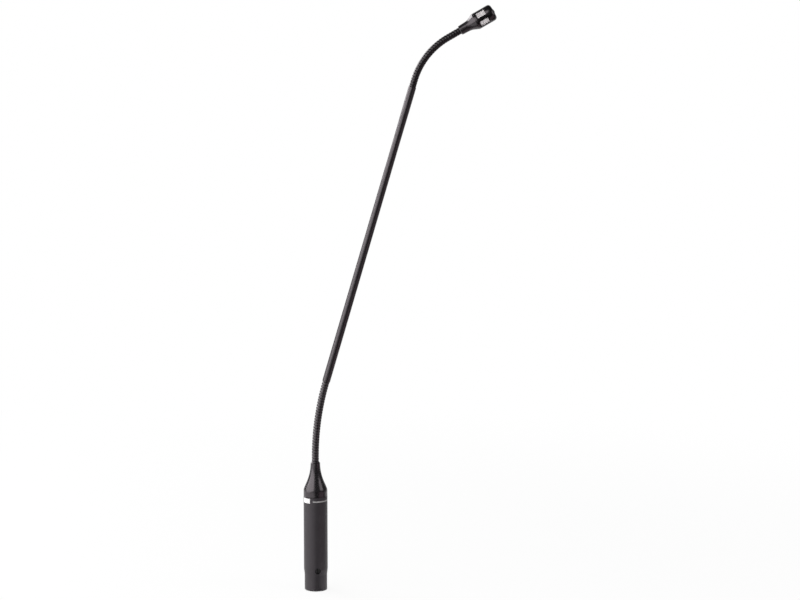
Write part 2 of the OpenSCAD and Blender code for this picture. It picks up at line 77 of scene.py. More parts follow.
class Value:
    def __init__(self, graph, socket):
        self.graph, self.socket = graph, socket

    def join(self, operation, other, swapped=False):
        first, second = (other, self) if swapped else (self, other)
        return self.graph.join(operation, first, second)

    def __add__(self, other):
        return self.join("ADD", other)

    __radd__ = __add__

    def __sub__(self, other):
        return self.join("SUBTRACT", other)

    def __rsub__(self, other):
        return self.join("SUBTRACT", other, True)

    def __mul__(self, other):
        return self.join("MULTIPLY", other)

    __rmul__ = __mul__

    def __truediv__(self, other):
        return self.join("DIVIDE", other)

    def __rtruediv__(self, other):
        return self.join("DIVIDE", other, True)

    def __gt__(self, other):
        return self.join("GREATER_THAN", other)

    def __lt__(self, other):
        return self.join("LESS_THAN", other)

    def __pow__(self, other):
        return self.join("POWER", other)

    def __mod__(self, other):
        return self.join("FLOORED_MODULO", other)


class Graph:
    def __init__(self, tree):
        self.tree = tree

    # settings are set first, then each socket gets its value or link
    def node(self, kind, settings=None, sockets=None, out=0):
        made = self.tree.nodes.new(kind)
        for key, value in (settings or {}).items():
            setattr(made, key, value)
        for key, value in (sockets or {}).items():
            for item in value if isinstance(value, list) else [value]:
                if isinstance(item, Value):
                    self.tree.links.new(item.socket, made.inputs[key])
                else:
                    made.inputs[key].default_value = item
        return made if out is None else Value(self, made.outputs[out])

    def call(self, function, value):
        return self.node("ShaderNodeMath", {"operation": function}, {0: value})

    def join(self, operation, first, second):
        return self.node("ShaderNodeMath", {"operation": operation}, {0: first, 1: second})

    def clamp(self, value):
        return self.node("ShaderNodeClamp", None, {"Value": value})

    def ramp(self, value, low, high):
        return self.node("ShaderNodeMapRange", {"interpolation_type": "SMOOTHSTEP"},
                         {"Value": value, "From Min": low, "From Max": high})

    def parts(self, vector):
        made = self.node("ShaderNodeSeparateXYZ", None, {0: vector}, None)
        return [Value(self, socket) for socket in made.outputs]

    def vector(self, x, y, z):
        return self.node("ShaderNodeCombineXYZ", None, {0: x, 1: y, 2: z})

    def plus(self, first, second):
        return self.node("ShaderNodeVectorMath", {"operation": "ADD"}, {0: first, 1: second})

    def times(self, vector, factor):
        return self.node("ShaderNodeVectorMath", {"operation": "SCALE"}, {0: vector, "Scale": factor})


class Finish(Graph):
    def __init__(self, name):
        self.material = bpy.data.materials.new(name)
        self.material.use_nodes = True
        super().__init__(self.material.node_tree)
        self.tree.nodes.clear()
        self.place = self.node("ShaderNodeTexCoord", None, None, "Object")

    def noise(self, scale, detail=3.0, stretch=(1, 1, 1), turn=(0, 0, 0)):
        where = self.place
        if stretch != (1, 1, 1) or turn != (0, 0, 0):
            where = self.node("ShaderNodeMapping", None,
                              {"Vector": where, "Rotation": turn, "Scale": stretch})
        return self.node("ShaderNodeTexNoise", None,
                         {"Vector": where, "Scale": scale, "Detail": detail}, "Fac")

    # a Mix node's colours are sockets 6 and 7, and output 2
    def tint(self, first, second, factor):
        return self.node("ShaderNodeMix", {"data_type": "RGBA"}, {0: factor, 6: first, 7: second}, 2)

    # depth is the bump's strength, rise its full height in mm
    def bump(self, height, depth, rise):
        return self.node("ShaderNodeBump", None,
                         {"Height": height, "Strength": depth, "Distance": rise * mm})

    def surface(self, **sockets):
        names = {"colour": "Base Color", "roughness": "Roughness", "metallic": "Metallic", "normal": "Normal",
                 "specular": "Specular IOR Level", "tint": "Specular Tint"}
        shader = self.node("ShaderNodeBsdfPrincipled", None, {names[k]: v for k, v in sockets.items()})
        self.node("ShaderNodeOutputMaterial", None, {"Surface": shader}, None)
        return self.material


# black coats

coatSizes = {
    "matt": ((0.026, 0.0235, 0.0265, 1), (0.035, 0.032, 0.036, 1)),
    "satin": ((0.0060, 0.0056, 0.0064, 1), (0.0100, 0.0092, 0.0104, 1)),
    "gloss": ((0.0028, 0.0024, 0.0028, 1), (0.0046, 0.0040, 0.0047, 1)),
    "shine": (1.0, 0.90, 0.955, 1),  # its reflections are a little purple
    "grainScale": 2400.0,  # powder grain, about 0.4 mm
    "mottleScale": 70.0,  # slow change of shade
    "grainRough": 0.05, "mottleRough": 0.07, "smoother": 0.05, "grainRise": 0.05,
}
scuffSizes = {
    "height": 14.0, "fullShare": 0.2,  # rubbed where the plug goes into its socket
    "scale": 900.0, "stretch": (1, 1, 0.05), "edges": (0.56, 0.72),
    "colour": (0.075, 0.072, 0.07, 1), "cover": 0.5, "polish": 0.08,
}


def scuffMask(f):
    sizes = scuffSizes
    top = sizes["height"] * mm
    streak = f.ramp(f.noise(sizes["scale"], stretch=sizes["stretch"]), *sizes["edges"])
    return streak * (1.0 - f.ramp(f.parts(f.place)[2], sizes["fullShare"] * top, top))


def blackCoat(name, tone, roughness, grainDepth, specular=0.5, scuffed=False):
    sizes = coatSizes
    f = Finish(name)
    grain = f.noise(sizes["grainScale"])
    mottle = f.noise(sizes["mottleScale"])
    colour = f.tint(*sizes[tone], mottle)
    rough = roughness - sizes["smoother"] + sizes["mottleRough"] * mottle + sizes["grainRough"] * grain
    if scuffed:
        scuff = scuffMask(f)
        colour = f.tint(colour, scuffSizes["colour"], scuffSizes["cover"] * scuff)
        rough = rough - scuffSizes["polish"] * scuff
    return f.surface(colour=colour, roughness=rough, specular=specular, tint=sizes["shine"],
                     normal=f.bump(grain, grainDepth, sizes["grainRise"]))


# drawn tube of the stem, with fine lines along it

tubeSizes = {
    "lineScale": 1500.0, "lineStretch": (1, 1, 0.01), "lineDetail": 2.0, "lineDepth": 0.04, "lineRise": 0.04,
    "mottleScale": 45.0, "roughness": 0.27, "lineRough": 0.06, "mottleRough": 0.05, "specular": 1.0,
}


def drawnTube(name):
    sizes = tubeSizes
    f = Finish(name)
    turn = (0, -math.radians(stemLean), 0)
    lines = f.noise(sizes["lineScale"], sizes["lineDetail"], sizes["lineStretch"], turn)
    mottle = f.noise(sizes["mottleScale"])
    rough = sizes["roughness"] + sizes["lineRough"] * lines + sizes["mottleRough"] * mottle
    return f.surface(colour=f.tint(*coatSizes["satin"], mottle), roughness=rough, specular=sizes["specular"],
                     tint=coatSizes["shine"], normal=f.bump(lines, sizes["lineDepth"], sizes["lineRise"]))


# wound wire of the necks, worn on its crests

wireSizes = {
    # one wire in a lighter and a darker copy: painted light and shade for how each neck is lit
    "lower": ((0.0060, 0.0055, 0.0060, 1), (0.030, 0.028, 0.030, 1)),  # painted lighter than the upper neck's wire: painted light for how this neck is lit
    "upper": ((0.0012, 0.0011, 0.0012, 1), (0.0050, 0.0045, 0.0050, 1)),
    "wearScale": 700.0, "wearBreak": 0.5, "wearEdges": (0.9, 1.5), "wearPolish": 0.06,
    "grainScale": 3000.0, "grainDetail": 2.0, "grainRough": 0.1, "grainDepth": 0.05, "grainRise": 0.04,
}


def woundWire(name, neck, roughness, specular):
    sizes = wireSizes
    f = Finish(name)
    crest = f.node("ShaderNodeAttribute", {"attribute_name": "crest"}, None, "Fac")
    wear = f.ramp(crest + sizes["wearBreak"] * f.noise(sizes["wearScale"]), *sizes["wearEdges"])
    grain = f.noise(sizes["grainScale"], sizes["grainDetail"])
    rough = roughness + sizes["grainRough"] * grain - sizes["wearPolish"] * wear
    return f.surface(colour=f.tint(*sizes[neck], wear), roughness=rough, specular=specular,
                     tint=coatSizes["shine"], normal=f.bump(grain, sizes["grainDepth"], sizes["grainRise"]))


# plain metals and plastics

metalSizes = {"scale": 1200.0, "smoother": 0.06, "grainRough": 0.12, "grainDepth": 0.06, "grainRise": 0.04}
mouldSizes = {
    "scale": 1800.0, "mottleScale": 150.0, "mottleDetail": 2.0, "grainRough": 0.1, "grainDepth": 0.05,
    "grainRise": 0.05,
}


def plainMetal(name, colour, shade, roughness, metallic=1.0, scale=metalSizes["scale"], stretch=(1, 1, 1)):
    sizes = metalSizes
    f = Finish(name)
    grain = f.noise(scale, stretch=stretch)
    rough = roughness - sizes["smoother"] + sizes["grainRough"] * grain
    return f.surface(colour=f.tint(colour, shade, grain), roughness=rough, metallic=metallic,
                     normal=f.bump(grain, sizes["grainDepth"], sizes["grainRise"]))


def moulded(name, colour, shade, roughness, grainDepth=mouldSizes["grainDepth"], scale=mouldSizes["scale"]):
    sizes = mouldSizes
    f = Finish(name)
    grain = f.noise(scale)
    mottle = f.noise(sizes["mottleScale"], sizes["mottleDetail"])
    return f.surface(colour=f.tint(colour, shade, mottle), roughness=roughness + sizes["grainRough"] * grain,
                     normal=f.bump(grain, grainDepth, sizes["grainRise"]))


# slotted screw, with painted shade in its slot and round its head below its face

screwSizes = {
    "turn": 12.0,  # the way it faces, in degrees
    "dirtBelow": (0.3, 0.1),  # mm under its face where the painted shade is full, and where it ends
    # slot: near-black painted shade for the slot and the recess round the head
    "face": ((0.030, 0.029, 0.030, 1), (0.042, 0.041, 0.042, 1)), "slot": (0.002, 0.002, 0.002, 1),
    "roughness": 0.6, "facePolish": 0.2, "grainRough": 0.1, "metallic": 0.3,
}


def slottedScrew(name):
    sizes = screwSizes
    f = Finish(name)
    turn = math.radians(sizes["turn"])
    ahead = Vector((math.sin(turn), -math.cos(turn), 0))
    top = max(v.co.dot(ahead) for v in nodes["insert_screw"].data.vertices)
    grain = f.noise(metalSizes["scale"])
    x, y, _ = f.parts(f.place)
    # face is 1 on the screw's face and 0 deeper down, where the painted shade is mixed in
    face = f.ramp(ahead.x * x + ahead.y * y, *[top - depth * mm for depth in sizes["dirtBelow"]])
    colour = f.tint(sizes["slot"], f.tint(*sizes["face"], grain), face)
    rough = sizes["roughness"] - sizes["facePolish"] * face + sizes["grainRough"] * grain
    return f.surface(colour=colour, roughness=rough, metallic=sizes["metallic"],
                     normal=f.bump(grain, metalSizes["grainDepth"], metalSizes["grainRise"]))


# circuit board with raised tracks under its mask

boardSizes = {
    "mask": (0.012, 0.085, 0.03, 1), "track": (0.03, 0.16, 0.06, 1),
    "trackScale": 420.0, "trackDetail": 0.0, "trackStretch": (1, 1, 0.12), "trackEdges": (0.5, 0.54),
    "roughness": 0.32, "trackPolish": 0.06, "trackDepth": 0.3, "trackRise": 0.03,
}


def boardMask(name):
    sizes = boardSizes
    f = Finish(name)
    pattern = f.noise(sizes["trackScale"], sizes["trackDetail"], sizes["trackStretch"])
    tracks = f.ramp(pattern, *sizes["trackEdges"])
    return f.surface(colour=f.tint(sizes["mask"], sizes["track"], tracks),
                     roughness=sizes["roughness"] - sizes["trackPolish"] * tracks,
                     normal=f.bump(tracks, sizes["trackDepth"], sizes["trackRise"]))


finishes = {
    "housing": blackCoat("housingCoat", "matt", roughness=0.44, grainDepth=0.10, scuffed=True),
    "nose": blackCoat("noseCoat", "satin", roughness=0.26, grainDepth=0.04, specular=1.0),
    "head": blackCoat("headCoat", "satin", roughness=0.28, grainDepth=0.05, specular=0.9),
    "shell": blackCoat("shellCoat", "gloss", roughness=0.22, grainDepth=0.05, specular=0.8),
    "stem": drawnTube("stemCoat"),
    "lowerWinding": woundWire("lowerWindingWire", "lower", roughness=0.34, specular=1.0),
    "upperWinding": woundWire("upperWindingWire", "upper", roughness=0.34, specular=0.65),
    "core": plainMetal("coreSteel", (0.06, 0.06, 0.062, 1), (0.10, 0.10, 0.10, 1), roughness=0.45),
    "wireCloth": plainMetal("wireCloth", (0.90, 0.86, 0.87, 1), (0.96, 0.92, 0.93, 1), roughness=0.42,
                            metallic=0.1),
    "liner": moulded("acousticLiner", (0.88, 0.84, 0.85, 1), (0.94, 0.90, 0.91, 1), roughness=0.7,
                     grainDepth=0.2, scale=2600.0),
    "grille": plainMetal("grilleSteel", (0.035, 0.035, 0.038, 1), (0.06, 0.06, 0.063, 1), roughness=0.4,
                         metallic=0.3),
    "insulator": moulded("insulatorBody", (0.02, 0.02, 0.021, 1), (0.03, 0.03, 0.031, 1), roughness=0.5),
    "plating": plainMetal("contactPlating", (0.78, 0.76, 0.72, 1), (0.86, 0.84, 0.80, 1), roughness=0.24),
    "screw": slottedScrew("screwBlack"),
    "board": boardMask("boardMask"),
    "capacitor": moulded("capacitorSleeve", (0.02, 0.025, 0.10, 1), (0.03, 0.035, 0.13, 1), roughness=0.3,
                         grainDepth=0.02),
    "transistor": moulded("transistorBody", (0.018, 0.018, 0.018, 1), (0.026, 0.026, 0.026, 1),
                          roughness=0.45),
    "resistor": moulded("resistorBody", (0.42, 0.30, 0.18, 1), (0.5, 0.37, 0.23, 1), roughness=0.5),
    "brass": plainMetal("bushBrass", (0.70, 0.52, 0.22, 1), (0.78, 0.60, 0.28, 1), roughness=0.3,
                        scale=2000.0, stretch=(1, 1, 0.1)),
    "aluminium": plainMetal("capsuleCan", (0.78, 0.78, 0.79, 1), (0.86, 0.86, 0.87, 1), roughness=0.3),
    "rubber": moulded("seatRubber", (0.018, 0.018, 0.018, 1), (0.028, 0.027, 0.027, 1), roughness=0.75,
                      grainDepth=0.12),
    "jacket": moulded("cableJacket", (0.014, 0.014, 0.015, 1), (0.022, 0.022, 0.022, 1), roughness=0.55,
                      grainDepth=0.06),
    "lead": moulded("leadJacket", (0.30, 0.03, 0.025, 1), (0.36, 0.045, 0.035, 1), roughness=0.5),
    "print": moulded("printWhite", (0.80, 0.79, 0.79, 1), (0.86, 0.85, 0.85, 1), roughness=0.55,
                     grainDepth=0.03),
    "rule": moulded("printGrey", (0.30, 0.29, 0.29, 1), (0.38, 0.37, 0.37, 1), roughness=0.55,
                    grainDepth=0.03),
}

nodeFinish = {
    "base_housing": "housing", "base_nose": "nose", "xlr_insert": "insulator", "contact_pins": "plating",
    "ground_tag": "plating", "insert_screw": "screw", "preamp_board": "board",
    "board_capacitors": "capacitor", "board_transistor": "transistor", "board_resistors": "resistor",
    "output_leads": "lead", "neck_ferrule": "brass", "stem_lower_bush": "brass", "stem_upper_bush": "brass",
    "head_ferrule": "brass", "lower_winding": "lowerWinding", "upper_winding": "upperWinding",
    "stem_tube": "stem", "head_neck": "head", "capsule_shell": "shell", "window_sleeve": "liner",
    "front_grille": "grille", "grille_ring": "grille", "capsule_cartridge": "aluminium",
    "capsule_gasket": "rubber", "capsule_board": "board", "signal_cable": "jacket",
}
for nodeName, cadPiece in nodes.items():
    cadPiece.data.materials.clear()
    cadPiece.data.materials.append(finishes[nodeFinish.get(nodeName, "core")])
print("finishes:", len(finishes))


# pieces

sharpTurns = {"formed": 35.0, "grown": 75.0}  # on a grown wire only the cut ends stay sharp


def addPiece(name, mesh, finish=None):
    piece = bpy.data.objects.new(name, mesh)
    bpy.context.scene.collection.objects.link(piece)
    if finish:
        mesh.materials.append(finishes[finish])
    return piece


def plainMesh(piece):
    evaluated = piece.evaluated_get(bpy.context.evaluated_depsgraph_get())
    return bpy.data.meshes.new_from_object(evaluated)


def settle(piece):
    # live modifiers become a plain mesh, smooth but for its sharp edges
    mesh = plainMesh(piece)
    piece.modifiers.clear()
    piece.data = mesh
    mesh.shade_smooth()
    mesh.set_sharp_from_angle(angle=math.radians(sharpTurns["formed"]))


def grow(name, seed, tree, values):
    maker = addPiece(name + "Seed", seed)
    shape = maker.modifiers.new("shape", "NODES")
    shape.node_group = tree
    for item in tree.interface.items_tree:
        if item.item_type == "SOCKET" and item.in_out == "INPUT" and item.name in values:
            shape[item.identifier] = values[item.name]
    mesh = plainMesh(maker)
    mesh.set_sharp_from_angle(angle=math.radians(sharpTurns["grown"]))
    bpy.data.objects.remove(maker)
    return addPiece(name, mesh)


def meshOf(name, bm):
    mesh = bpy.data.meshes.new(name)
    bm.to_mesh(mesh)
    bm.free()
    return mesh


def turned(name, outline, sides):
    # a closed outline of radius and height, turned round the axis
    bm = bmesh.new()
    turns = [math.tau * i / sides for i in range(sides)]
    rows = [[bm.verts.new((r * math.cos(a), r * math.sin(a), z)) for a in turns] for r, z in outline]
    for row, after in zip(rows, rows[1:] + rows[:1]):
        for i in range(sides):
            n = (i + 1) % sides
            bm.faces.new((row[i], row[n], after[n], after[i]))
    bmesh.ops.recalc_face_normals(bm, faces=bm.faces)
    return meshOf(name, bm)


def rideFor(piece, body, node):
    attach(piece, body)
    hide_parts(node)


def newTree(name, inputs):
    tree = bpy.data.node_groups.new(name, "GeometryNodeTree")
    tree.interface.new_socket("Geometry", in_out="INPUT", socket_type="NodeSocketGeometry")
    for label, kind in inputs.items():
        tree.interface.new_socket(label, in_out="INPUT", socket_type="NodeSocket" + kind)
    tree.interface.new_socket("Geometry", in_out="OUTPUT", socket_type="NodeSocketGeometry")
    g = Graph(tree)
    given = g.node("NodeGroupInput", None, None, None)
    return g, {label: Value(g, given.outputs[label]) for label in ["Geometry", *inputs]}


def endTree(g, geometry, material):
    smooth = g.node("GeometryNodeSetShadeSmooth", None, {"Geometry": geometry})
    real = g.node("GeometryNodeRealizeInstances", None, {"Geometry": smooth})
    painted = g.node("GeometryNodeSetMaterial", None, {"Geometry": real, "Material": material})
    g.node("NodeGroupOutput", None, {0: painted}, None)
    return g.tree


def circle(g, sides, radius):
    return g.node("GeometryNodeCurvePrimitiveCircle", {"mode": "RADIUS"},
                  {"Resolution": sides, "Radius": radius})


# the route of the necks, the stem and the cable

neckSizes = {
    "lower": {"root": (0.0, 117.6), "lean": 0.0, "bend": stemLean, "length": 75.0, "lead": 4.0, "tail": 0.0,
              "bodies": ("base", "stem")},
    "upper": {"lean": stemLean, "bend": 43.6, "length": 67.2, "lead": 6.0, "tail": 12.5,
              "bodies": ("stem", "head")},
}
stemLength = 276.0
hingeCount = 4  # along each neck
routeSteps = 240
neckSeat = 3.4  # how far a neck runs on into its seat


def leanAt(neck, s):
    t = min(max((s - neck["lead"]) / (neck["length"] - neck["lead"] - neck["tail"]), 0.0), 1.0)
    return math.radians(neck["lean"] + neck["bend"] * t)


def heading(lean):
    return Vector((math.sin(lean), 0, math.cos(lean)))


def walk(neck):
    step = neck["length"] / routeSteps
    points = [Vector((neck["root"][0], 0, neck["root"][1]))]
    for i in range(routeSteps):
        points.append(points[-1] + step * heading(leanAt(neck, (i + 0.5) * step)))
    return points


def axisFrame(root, lean):
    # from mm along a leaning axis to the shared frame
    return Matrix.Scale(mm, 4) @ Matrix.Translation(root) @ Matrix.Rotation(lean, 4, "Y")


lowerNeck, upperNeck = neckSizes["lower"], neckSizes["upper"]
lowerNeck["points"] = walk(lowerNeck)
stemRoot = lowerNeck["points"][-1]
stemFrame = axisFrame(stemRoot, math.radians(stemLean))
stemTip = stemRoot + stemLength * heading(math.radians(stemLean))
upperNeck["root"] = (stemTip.x, stemTip.z)
upperNeck["points"] = walk(upperNeck)
headRoot = upperNeck["points"][-1]
headLean = leanAt(upperNeck, upperNeck["length"])
headFrame = axisFrame(headRoot, headLean)


def spanOn(place, node):
    # how far a node reaches along an axis, then its least and greatest radius
    back = place.inverted()
    spots = [back @ v.co for v in nodes[node].data.vertices]
    heights = [p.z for p in spots]
    radii = [math.hypot(p.x, p.y) for p in spots]
    return min(heights), max(heights), min(radii), max(radii)


def pathMesh(name, points):
    mesh = bpy.data.meshes.new(name)
    mesh.from_pydata([p * mm for p in points], [(i, i + 1) for i in range(len(points) - 1)], [])
    return mesh


def neckPath(neck):
    # runs on straight into the seat at each end
    first, last = heading(leanAt(neck, 0)), heading(leanAt(neck, neck["length"]))
    points = neck["points"]
    return [points[0] - neckSeat * first, *points, points[-1] + neckSeat * last]


def cells(name, neck):
    # each has a hinge in its middle: from and to are along the neck, start and end are in the frame
    rootBody, tipBody = neck["bodies"]
    bodies = [rootBody, *[f"{name}_link_{k}" for k in range(1, hingeCount)], tipBody]
    cell = neck["length"] / hingeCount
    step = routeSteps // hingeCount
    for k in range(1, hingeCount + 1):
        yield {
            "number": k, "from": (k - 1) * cell, "to": k * cell, "bodies": bodies[k - 1:k + 1],
            "start": neck["points"][(k - 1) * step] * mm, "end": neck["points"][k * step] * mm,
        }


def bendFor(piece, node):
    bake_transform(piece)
    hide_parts(node)


# neck windings: one flattened wire wound along each neck

windingSizes = {
    "outerRadius": {"lower": 3.225, "upper": 3.1}, "squareness": {"lower": 2.7, "upper": 4.0},
    "wireWidth": 2.28, "wireHeight": 0.84, "pitch": 2.5, "inset": 1.2, "endGap": 0.06, "endWidth": 0.12,
    "ringsPerTurn": 28, "sides": 18, "weld": 0.001,
}


def windingTree():
    g, given = newTree("woundNeck", {
        "From": "Float", "To": "Float", "Low": "Float", "High": "Float", "Origin": "Float", "Pitch": "Float",
        "Radius": "Float", "Width": "Float", "Height": "Float", "Squareness": "Float", "Weld": "Float",
        "Rings": "Int", "Sides": "Int", "Material": "Material"})
    rings = given["Rings"]
    grid = g.node("GeometryNodeMeshGrid", None, {
        "Size X": 1.0, "Size Y": 1.0, "Vertices X": given["Sides"] + 1, "Vertices Y": rings + 2})
    x, y, _ = g.parts(g.node("GeometryNodeInputPosition"))
    u, v = x + 0.5, y + 0.5  # round the wire and along it, from 0 to 1
    row = g.call("ROUND", v * (rings + 1))
    full = (row > 0.5) * (row < rings + 0.5)  # the first and last rows close the ends
    s = given["From"] + g.clamp((row - 1) / (rings - 1)) * (given["To"] - given["From"])
    route = g.node("GeometryNodeMeshToCurve", None, {"Mesh": given["Geometry"]})
    sample = g.node("GeometryNodeSampleCurve", {"mode": "LENGTH"}, {"Curves": route, "Length": s}, None)
    centre, along = Value(g, sample.outputs["Position"]), Value(g, sample.outputs["Tangent"])
    tx, _, tz = g.parts(along)
    turn = math.tau * (s - given["Origin"]) / given["Pitch"]
    out = g.plus(g.times(g.vector(tz, 0.0, 0.0 - tx), g.call("COSINE", turn)),
                 g.times((0, 1, 0), g.call("SINE", turn)))
    side, crest = [g.call("SIGN", wave) * g.call("ABSOLUTE", wave) ** (2 / given["Squareness"])
                   for wave in (g.call("COSINE", math.tau * u), g.call("SINE", math.tau * u))]
    reach = given["Radius"] - given["Height"] / 2 + full * crest * given["Height"] / 2
    rear = g.join("MAXIMUM", s - given["Width"] / 2, given["Low"])  # ground flat where it meets the stem
    front = g.join("MINIMUM", s + given["Width"] / 2, given["High"])
    slide = (front + rear) / 2 - s + full * side * (front - rear) / 2
    spot = g.plus(centre, g.plus(g.times(out, reach), g.times(along, slide)))
    marked = g.node("GeometryNodeStoreNamedAttribute", {"data_type": "FLOAT", "domain": "POINT"},
                    {"Geometry": grid, "Name": "crest", "Value": crest})
    wound = g.node("GeometryNodeSetPosition", None, {"Geometry": marked, "Position": spot})
    closed = g.node("GeometryNodeMergeByDistance", None, {"Geometry": wound, "Distance": given["Weld"]})
    return endTree(g, closed, given["Material"])


def windingSpan(name, length):
    # the wire starts in a seat at one end, and is cut flat against the stem at the other
    sizes = windingSizes
    runOn = sizes["wireWidth"] / 2 - sizes["endWidth"]
    first, last = sizes["inset"], length - sizes["inset"]
    if name == "lower":
        first -= neckSeat
    else:
        last += neckSeat
    turns = math.floor((last - first) / sizes["pitch"])
    span = {
        "first": first, "last": last, "origin": first, "pitch": (last - first) / turns,
        "low": -2 * neckSeat, "high": length + 2 * neckSeat,  # past the ends, where nothing is cut
    }
    if name == "lower":
        span["high"] = length - sizes["endGap"]
        span["last"] = span["high"] + runOn
    else:
        span["low"] = sizes["endGap"]
        span["first"] = span["low"] - runOn
    return span


def makeWindings():
    tree = windingTree()
    sizes = windingSizes
    for name, neck in neckSizes.items():
        span = windingSpan(name, neck["length"])
        path = pathMesh(name + "Route", neckPath(neck))
        for cell in cells(name, neck):
            start = span["first"] if cell["number"] == 1 else cell["from"]
            end = span["last"] if cell["number"] == hingeCount else cell["to"]
            turns = (end - start) / span["pitch"]
            places = {
                "From": start, "To": end, "Low": span["low"], "High": span["high"], "Origin": span["origin"],
            }
            piece = grow(f"{name}Winding_{cell['number']:02d}", path.copy(), tree, {
                **{label: (place + neckSeat) * mm for label, place in places.items()},
                "Pitch": span["pitch"] * mm, "Radius": sizes["outerRadius"][name] * mm,
                "Width": sizes["wireWidth"] * mm, "Height": sizes["wireHeight"] * mm,
                "Squareness": sizes["squareness"][name], "Weld": sizes["weld"] * mm,
                "Rings": round(turns * sizes["ringsPerTurn"]) + 1, "Sides": sizes["sides"],
                "Material": finishes[name + "Winding"]})
            bendFor(piece, name + "_winding")
    print("windings:", len(neckSizes), "necks,", hingeCount, "pieces each")


makeWindings()


# stem: a drawn tube that narrows from its foot and swells a little towards its top

stemSizes = {
    "waist": 3.3, "waistAt": 222.0, "top": 3.44, "topAt": 262.0, "easeSteps": 8,
    "edge": 0.3, "edgeSteps": 3, "edgeHold": 0.9, "sides": 72,
}


def makeStem():
    sizes = stemSizes
    _, _, bore, foot = spanOn(stemFrame, "stem_tube")

    def corner(radius, end, inward):
        # round from the end's flat face to the outside, and a ring that keeps the shading straight
        for i in range(sizes["edgeSteps"] + 1):
            a = math.pi / 2 * i / sizes["edgeSteps"]
            yield radius - sizes["edge"] * (1 - math.sin(a)), end + inward * sizes["edge"] * (1 - math.cos(a))
        yield radius, end + inward * sizes["edgeHold"]

    shares = [i / sizes["easeSteps"] for i in range(sizes["easeSteps"] + 1)]
    swell = [(sizes["waist"] + (sizes["top"] - sizes["waist"]) * t * t * (3 - 2 * t),
              sizes["waistAt"] + (sizes["topAt"] - sizes["waistAt"]) * t) for t in shares]
    top = reversed(list(corner(sizes["top"], stemLength, -1)))
    outline = [(bore, 0.0), *corner(foot, 0.0, 1), *swell, *top, (bore, stemLength)]
    piece = addPiece("stem_tube_drawn", turned("stemTube", outline, sizes["sides"]), "stem")
    settle(piece)
    piece.data.transform(stemFrame)
    rideFor(piece, "stem", "stem_tube")
    print("stem:", stemLength, "mm long,", round(2 * sizes["top"], 2), "mm at its top")


makeStem()


# the signal cable, from the base's board through both necks to the capsule, and the plug's leads

cableSizes = {
    "radius": 1.0, "sides": 16, "boardSide": 1.3, "foot": 65.0, "boardTop": 71.0, "noseFoot": 86.5,
    "headEnd": 23.84,
}
leadSizes = {
    "radius": 0.5, "sides": 12, "circle": 3.81, "foot": 28.1, "pad": 1.8, "angles": (0, 180, 270),
    "rises": ((0, 0.0), (1, 0.0), (4, 0.5), (7, 1.0), (9, 1.0)),  # height, and share of the way to the pad
}


def tubeTree():
    g, given = newTree("jacketTube", {
        "From": "Float", "To": "Float", "Radius": "Float", "Sides": "Int", "Material": "Material"})
    route = g.node("GeometryNodeMeshToCurve", None, {"Mesh": given["Geometry"]})
    span = g.node("GeometryNodeTrimCurve", {"mode": "LENGTH"}, {"Curve": route}, None)
    for label, key in (("From", "Start"), ("To", "End")):
        socket = [s for s in span.inputs if s.name == key and s.enabled][-1]
        g.tree.links.new(given[label].socket, socket)
    tube = g.node("GeometryNodeCurveToMesh", None, {
        "Curve": Value(g, span.outputs[0]), "Profile Curve": circle(g, given["Sides"], given["Radius"]),
        "Fill Caps": True})
    return endTree(g, tube, given["Material"])


def makeCable(tree):
    sizes = cableSizes
    foot = [Vector((0, sizes["boardSide"], sizes["foot"])),
            Vector((0, sizes["boardSide"], sizes["boardTop"])),
            Vector((0, 0, sizes["noseFoot"]))]
    headEnd = headRoot + sizes["headEnd"] * heading(headLean)
    path = foot + lowerNeck["points"] + upperNeck["points"] + [headEnd]
    runs = [0.0]
    for a, b in zip(path, path[1:]):
        runs.append(runs[-1] + (b - a).length)
    starts = {"lower": runs[len(foot)], "upper": runs[len(foot) + routeSteps + 1]}
    ends = {name: starts[name] + neck["length"] for name, neck in neckSizes.items()}
    mesh = pathMesh("cableRoute", path)

    def stretch(name, start, end):
        return grow(name, mesh.copy(), tree, {
            "From": start * mm, "To": end * mm, "Radius": sizes["radius"] * mm, "Sides": sizes["sides"],
            "Material": finishes["jacket"]})

    for name, neck in neckSizes.items():
        for cell in cells(name, neck):
            start, end = starts[name] + cell["from"], starts[name] + cell["to"]
            piece = stretch(f"cable_{name}_{cell['number']:02d}", start, end)
            bendFor(piece, "signal_cable")
    for body, start, end in (
            ("base", 0.0, starts["lower"]), ("stem", ends["lower"], starts["upper"]),
            ("head", ends["upper"], runs[-1])):
        rideFor(stretch("cable_" + body, start, end), body, "signal_cable")
    print("cable:", round(runs[-1], 1), "mm")


def makeLeads(tree):
    sizes = leadSizes
    for number, turn in enumerate(sizes["angles"], 1):
        x = sizes["circle"] * math.cos(math.radians(turn))
        y = sizes["circle"] * math.sin(math.radians(turn))
        route = [Vector((x, y + (sizes["pad"] - y) * share, sizes["foot"] + up))
                 for up, share in sizes["rises"]]
        length = sum((b - a).length for a, b in zip(route, route[1:]))
        piece = grow(f"output_lead_{number}", pathMesh("leadRoute", route), tree, {
            "From": 0.0, "To": length * mm, "Radius": sizes["radius"] * mm, "Sides": sizes["sides"],
            "Material": finishes["lead"]})
        rideFor(piece, "base", "output_leads")
    print("leads:", len(sizes["angles"]))


jacketTube = tubeTree()
makeCable(jacketTube)
makeLeads(jacketTube)


# blank printed patch and plain rule on the housing

printSizes = {
    "thickness": 0.03, "columnTurn": 2.0,  # turn is round from the front, to the right
    "patch": {"turn": (-72.0, -26.5), "height": (81.3, 85.7), "finish": "print"},
    "rule": {"turn": (-11.5, 84.0), "height": (82.4, 83.5), "finish": "rule"},
}


